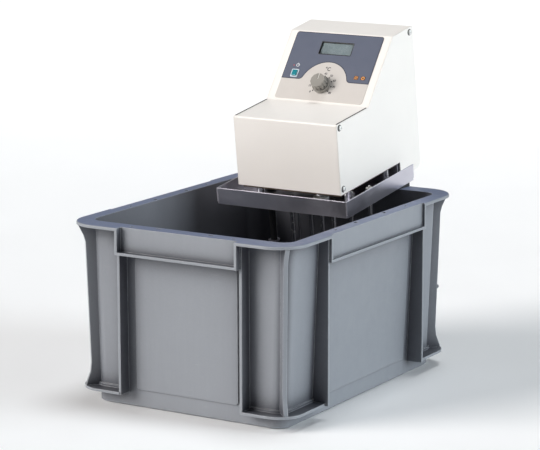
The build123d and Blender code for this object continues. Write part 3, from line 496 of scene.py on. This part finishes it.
def curve_to_piece(name, curve, lift, material):
    """Turns a filled curve, drawn in millimetres on the panel, into a mesh piece."""
    drawn = bpy.data.objects.new(name + "_drawn", curve)
    bpy.context.scene.collection.objects.link(drawn)
    bpy.context.view_layer.update()
    mesh = bpy.data.meshes.new_from_object(drawn.evaluated_get(bpy.context.evaluated_depsgraph_get()))
    bpy.data.objects.remove(drawn)
    mesh.transform(PANEL @ Matrix.Translation(lift))
    mesh.name = name
    mesh.materials.clear()
    mesh.materials.append(material)
    piece = bpy.data.objects.new(name, mesh)
    bpy.context.scene.collection.objects.link(piece)
    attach(piece, PANEL_BODY)


def flat_print(name, outlines, low, high, material):
    """A thin layer on the panel, low to high millimetres off it; inner outlines are holes."""
    curve = bpy.data.curves.new(name, "CURVE")
    curve.dimensions = "2D"
    curve.fill_mode = "BOTH"
    curve.extrude = (high - low) / 2
    for outline in outlines:
        spline = curve.splines.new("POLY")
        spline.points.add(len(outline) - 1)
        for point, (x, y) in zip(spline.points, outline):
            point.co = (x, y, 0, 1)
        spline.use_cyclic_u = True
    curve_to_piece(name, curve, (0, 0, (low + high) / 2), material)


def printed_text(name, words, x, y, size, material):
    """Characters centred on x, y, made bolder by a small offset."""
    curve = bpy.data.curves.new(name, "FONT")
    curve.body = words
    curve.size = size
    curve.align_x = "CENTER"
    curve.align_y = "CENTER"
    curve.extrude = PRINT / 2
    curve.offset = size * TEXT_BOLD
    curve.resolution_u = TEXT_STEPS
    curve_to_piece(name, curve, (x, y, FILM + PRINT / 2), material)


# ---------------------------------------------------------------- printing on the panel
TEXT_BOLD = 0.022
TEXT_STEPS = 3
LABEL_HIGH = 96.8
LABEL_HALF = 61.5
DARK_LOW = 30.6
DARK_CORNER = 3.5
DARK_BORDER = 1.0
ARCH_R = 32.3
ARCH_FILLET = 6.0
DISPLAY = (0.9, 76.0, 46.0, 18.2)
BUTTON = (-44.9, 38.2, 10.0, 11.0)
LAMPS = ((42.0, 38.2), (51.6, 38.2))
LAMP = (6.0, 5.0)
LAMP_PROUD = 0.4
WAVE_APART = 1.7
WAVE_TALL = 2.1
WAVE_SWAY = 0.45
WAVE_HALF = 0.35
WAVE_STEPS = 8
STIRRER_RING = (2.3, 1.3)
DIAL_FIRST = 216.0              # degrees from the panel's X
DIAL_LAST = -34.0
DIAL_DOTS = 9
DOT_RING = 12.9
DOT_R = 0.95
NUMBER_RING = (16.9, 16.4)
NUMBER_SIZE = 3.9
UNIT_AT = (0.5, 22.8)           # from the knob
UNIT_SIZE = 7.0
POWER_AT = (0.5, 11.5)          # from the button
POWER_RING = (2.3, 1.7)
POWER_GAP = (115, 425)
POWER_BAR = (0.7, 2.6, 0.3)
RED_DOT = (-5.4, -0.6, 0.7)     # from the power sign


def dark_outline(inset):
    """The dark upper area, with an arch over the knob, drawn inset millimetres inside itself."""
    x0, y0 = KNOB_ON_PANEL
    half = LABEL_HALF - inset
    low = DARK_LOW + inset
    high = LABEL_HIGH - inset
    radius = ARCH_R + inset
    corner = DARK_CORNER - inset / 2
    fillet = ARCH_FILLET - inset
    reach = math.sqrt((radius + fillet) ** 2 - (low + fillet - y0) ** 2)
    turn = math.degrees(math.atan2(low + fillet - y0, reach))
    points = [(-half, low)]
    points += arc(x0 - reach, low + fillet, fillet, -90, -turn, 8)
    points += arc(x0, y0, radius, 180 - turn, turn, 40)
    points += arc(x0 + reach, low + fillet, fillet, 180 + turn, 270, 8)
    points.append((half, low))
    points += arc(half - corner, high - corner, corner, 0, 90, 8)
    points += arc(-half + corner, high - corner, corner, 90, 180, 8)
    return points


def panel_windows():
    """Holes in the dark print for the display, the button and the lamps."""
    windows = [rounded_box(*DISPLAY, 1), rounded_box(*BUTTON, 1.5)]
    windows += [rounded_box(x, y, *LAMP, 0.8) for x, y in LAMPS]
    return windows


def print_panel():
    border = printed_film("film_border", (0.030, 0.033, 0.055), 0.36)
    field = printed_film("film_dark", (0.090, 0.104, 0.150), 0.36)
    white = printed_film("film_white", (0.80, 0.82, 0.84))
    ink = printed_film("film_ink", (0.03, 0.03, 0.035))
    windows = panel_windows()
    layer = [FILM + count * PRINT for count in range(3)]
    flat_print("panel_border", [dark_outline(0), *windows], layer[0], layer[1], border)
    flat_print("panel_field", [dark_outline(DARK_BORDER), *windows], layer[1], layer[2], field)
    print_dial(ink)
    print_power_mark(white)
    print_lamp_marks()


def print_dial(ink):
    """Even dots round the knob, plain numbers outside them and a degree sign above."""
    x0, y0 = KNOB_ON_PANEL
    for step in range(DIAL_DOTS):
        turn = DIAL_FIRST + (DIAL_LAST - DIAL_FIRST) * step / (DIAL_DOTS - 1)
        across, up = math.cos(math.radians(turn)), math.sin(math.radians(turn))
        dot = circle(x0 + DOT_RING * across, y0 + DOT_RING * up, DOT_R, 16)
        flat_print(f"dial_dot_{step}", [dot], FILM, FILM + PRINT, ink)
        place = (x0 + NUMBER_RING[0] * across, y0 + NUMBER_RING[1] * up)
        printed_text(f"dial_number_{step}", str(10 * step), *place, NUMBER_SIZE, ink)
    printed_text("dial_unit", "\N{DEGREE SIGN}C", x0 + UNIT_AT[0], y0 + UNIT_AT[1], UNIT_SIZE, ink)


def print_power_mark(white):
    """The usual on/off sign over the button: a broken ring and a bar, with a red dot."""
    x, y = BUTTON[0] + POWER_AT[0], BUTTON[1] + POWER_AT[1]
    outer, inner = POWER_RING
    start, end = POWER_GAP
    ring = arc(x, y, outer, start, end, 24) + arc(x, y, inner, end, start, 24)
    bar = rounded_box(x, y + inner, *POWER_BAR)
    dot = circle(x + RED_DOT[0], y + RED_DOT[1], RED_DOT[2], 16)
    low, high = FILM + 2 * PRINT, FILM + 3 * PRINT
    flat_print("power_ring", [ring], low, high, white)
    flat_print("power_bar", [bar], low, high, white)
    red = printed_film("film_red", (0.55, 0.06, 0.05))
    flat_print("power_dot", [dot], low, high, red)


def print_lamp_marks():
    """Heater sign, three wavy lines, and stirrer sign, a ring, on the two lamps."""
    orange = printed_film("film_orange", (0.72, 0.30, 0.07))
    low = FILM + LAMP_PROUD
    high = low + PRINT
    x, y = LAMPS[0]
    for index in (-1, 0, 1):
        wave = []
        for side in (-1, 1):
            for count in range(-WAVE_STEPS, WAVE_STEPS + 1):
                step = -side * count
                sway = WAVE_SWAY * math.sin(step * math.pi / WAVE_STEPS)
                across = x + WAVE_APART * index + sway + WAVE_HALF * side
                wave.append((across, y + WAVE_TALL * step / WAVE_STEPS))
        flat_print(f"heater_wave_{index + 1}", [wave], low, high, orange)
    ring = [circle(*LAMPS[1], radius) for radius in STIRRER_RING]
    flat_print("stirrer_ring", ring, low, high, orange)


print_panel()


# ---------------------------------------------------------------- stage
FLOOR_R = 14.0
FLOOR_SIDES = 64
FLOOR_DROP = 0.0005             # keeps the floor from touching the tub's foot
WORLD_COLOUR = (0.95, 0.97, 1.0, 1)
WORLD_STRENGTH = 0.14
BACKDROP_SPREAD = 100
# name, azimuth, elevation, strength, angle, colour
SUNS = (
    ("left_light", -42, 24, 3.3, 36, (1.0, 0.965, 0.94)),
    ("right_light", 105, 15, 2.35, 32, (0.87, 0.95, 1.0)),
    ("top_light", 150, 80, 1.0, 22, (0.93, 0.97, 1.0)),
)


def pale_floor():
    """Plain pale floor, a little uneven in tone and gloss."""
    s = Surface("floor", (0.95, 0.95, 0.95), 0.6)
    s.colour(s.mix(s.noise(0.4, detail=3), (0.94, 0.94, 0.94), (0.96, 0.96, 0.96)))
    s.rough(s.span(s.noise(0.1), 0.3, 0.7, 0.55, 0.7))
    return s.material


def make_floor():
    mesh = bpy.data.meshes.new("floor")
    turns = [math.tau * step / FLOOR_SIDES for step in range(FLOOR_SIDES)]
    rim = [(FLOOR_R * math.cos(turn), FLOOR_R * math.sin(turn), 0) for turn in turns]
    mesh.from_pydata(rim, [], [tuple(range(FLOOR_SIDES))])
    mesh.materials.append(pale_floor())
    floor = bpy.data.objects.new("floor", mesh)
    floor.location.z = -FLOOR_DROP
    bpy.context.scene.collection.objects.link(floor)


def add_sun(name, azimuth, elevation, strength, angle, colour):
    """Soft sun from azimuth degrees round from -Y towards +X, elevation degrees up."""
    data = bpy.data.lights.new(name, "SUN")
    data.energy = strength
    data.angle = math.radians(angle)
    data.color = colour
    light = bpy.data.objects.new(name, data)
    turn = math.radians(azimuth)
    rise = math.radians(elevation)
    level = math.cos(rise)
    source = Vector((math.sin(turn) * level, -math.cos(turn) * level, math.sin(rise)))
    light.rotation_euler = source.to_track_quat("Z", "Y").to_euler()
    bpy.context.scene.collection.objects.link(light)


def add_backdrop_light(name, place, size, power):
    """Square light that shines straight down on the floor behind the object."""
    data = bpy.data.lights.new(name, "AREA")
    data.shape = "SQUARE"
    data.size = size
    data.energy = power
    data.spread = math.radians(BACKDROP_SPREAD)
    light = bpy.data.objects.new(name, data)
    light.location = place
    bpy.context.scene.collection.objects.link(light)


def make_lights():
    """Soft suns from the left, the right and above, a dim sky and a lit floor behind."""
    world = bpy.data.worlds.new("studio")
    world.use_nodes = True
    background = world.node_tree.nodes["Background"]
    background.inputs["Color"].default_value = WORLD_COLOUR
    background.inputs["Strength"].default_value = WORLD_STRENGTH
    bpy.context.scene.world = world
    for sun in SUNS:
        add_sun(*sun)
    add_backdrop_light("backdrop_light", (-1.9, 3.6, 2.2), 4.0, 16)


make_floor()
make_lights()
bpy.context.scene.view_settings.view_transform = "Standard"
